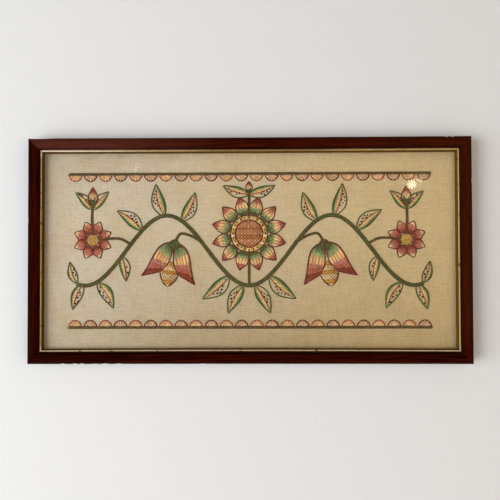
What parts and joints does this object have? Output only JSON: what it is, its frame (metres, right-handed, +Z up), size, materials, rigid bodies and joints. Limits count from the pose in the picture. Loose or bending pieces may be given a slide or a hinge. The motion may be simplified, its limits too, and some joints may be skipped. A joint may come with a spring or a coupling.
{
  "type": "framed embroidery",
  "caption": "Framed embroidery of vine and flowers worked in wool on linen, under glass in a dark mitred wood frame with a gilt slip.",
  "frame": {"origin": "the point on the wall where a nail carries the middle tooth of the hanger, 7.5 mm below the frame's top edge", "axes": "+Z up as it hangs, +X to the viewer's right, +Y into the wall, so the picture faces -Y"},
  "size_m": [0.576, 0.02, 0.294],
  "materials": {
    "mahogany": "red brown stained and varnished, satin",
    "gilt": "old bronze gilding, granular and rubbed",
    "pane": "clear picture glass",
    "linen": "natural slubby plain weave",
    "hardboard": "brown pressed fibre board, mesh marked",
    "steel": "dull zinc plated",
    "thread_olive": "two ply crewel wool",
    "thread_moss": "two ply crewel wool",
    "thread_sage": "two ply crewel wool",
    "thread_cream": "two ply crewel wool",
    "thread_peach": "two ply crewel wool",
    "thread_ochre": "two ply crewel wool",
    "thread_brick": "two ply crewel wool",
    "thread_maroon": "two ply crewel wool",
    "thread_pink": "two ply crewel wool",
    "thread_dark": "two ply crewel wool"
  },
  "bodies": {
    "root": {"rail_top": "mahogany", "rail_right": "mahogany", "rail_bottom": "mahogany", "rail_left": "mahogany", "slip_top": "gilt", "slip_right": "gilt", "slip_bottom": "gilt", "slip_left": "gilt", "glass": "pane", "cloth": "linen", "backing_board": "hardboard", "point_top_1": "steel", "point_top_2": "steel", "point_top_3": "steel", "point_top_4": "steel", "point_right_1": "steel", "point_right_2": "steel", "point_bottom_1": "steel", "point_bottom_2": "steel", "point_bottom_3": "steel", "point_bottom_4": "steel", "point_left_1": "steel", "point_left_2": "steel", "hanger_plate": "steel", "hanger_nail_left": "steel", "hanger_nail_right": "steel"}
  },
  "joints": []
}
